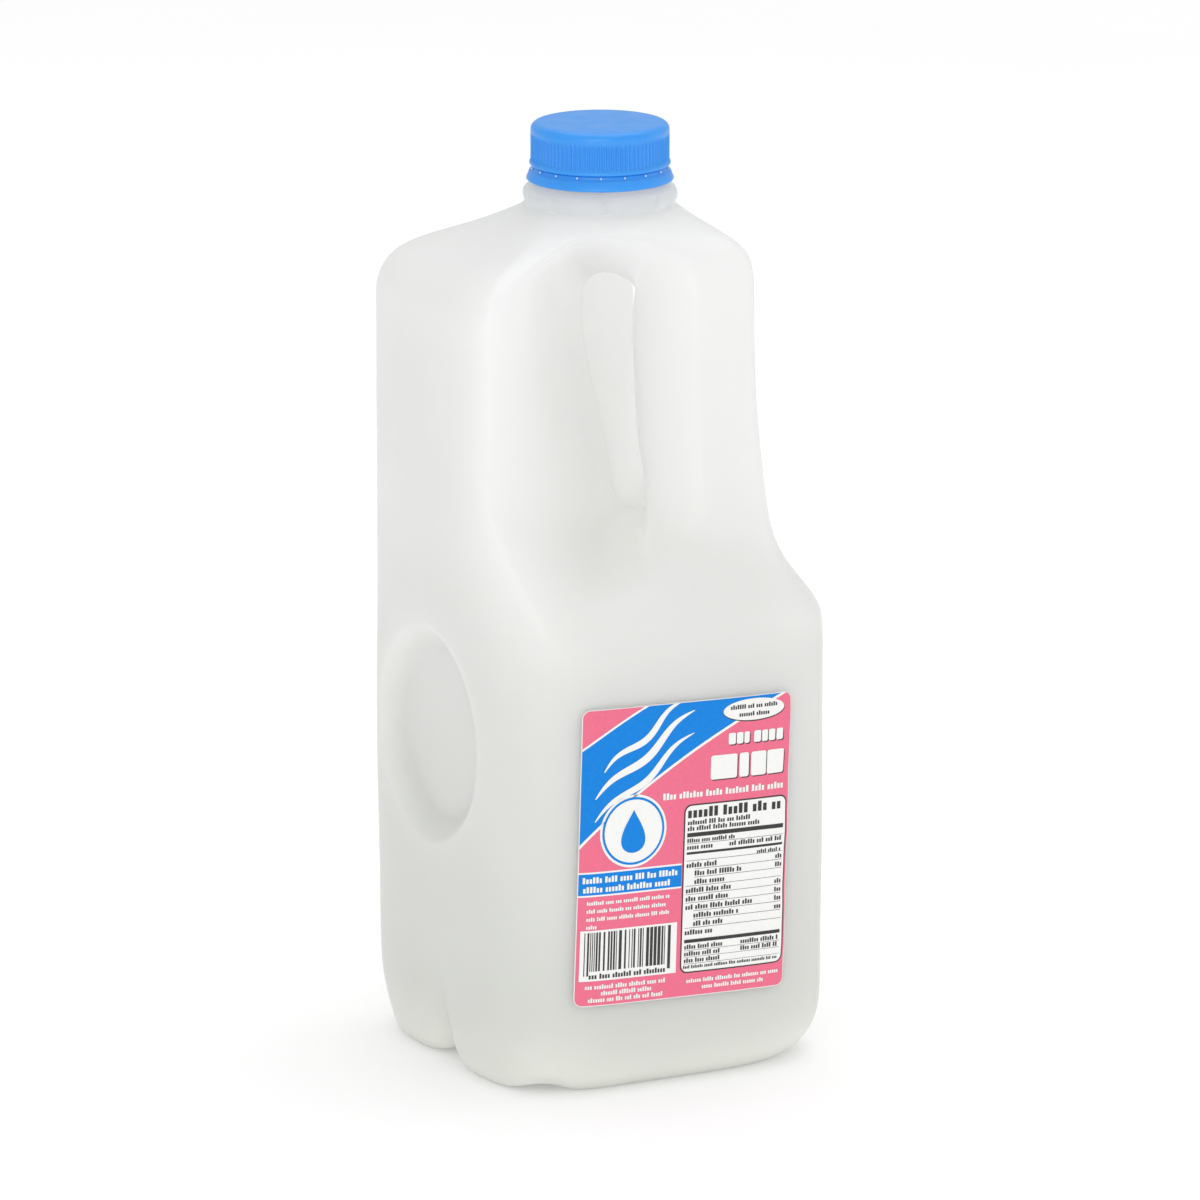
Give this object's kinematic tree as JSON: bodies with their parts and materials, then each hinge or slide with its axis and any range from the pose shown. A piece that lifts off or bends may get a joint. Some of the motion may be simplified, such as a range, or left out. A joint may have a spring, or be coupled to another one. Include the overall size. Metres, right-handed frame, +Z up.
{
  "type": "plastic milk jug",
  "caption": "Half-gallon blow-moulded milk jug with a corner handle, a side dimple, a blue screw cap with tamper band, and a label on the front panel.",
  "frame": {"origin": "middle of the base, on the ground, on the axis of the neck", "axes": "+Z up along the neck, +X towards the handle corner, the parting plane at Y = 0"},
  "size_m": [0.1294, 0.1302, 0.2656],
  "materials": {
    "jug": "satin translucent polyethylene, white with milk behind it",
    "cap": "satin blue polyethylene, ribbed skirt",
    "label": "semi-gloss printed film, pink with blue and white fields"
  },
  "bodies": {
    "root": {"jug_body": "jug", "cap": "cap", "label": "label"}
  },
  "joints": []
}
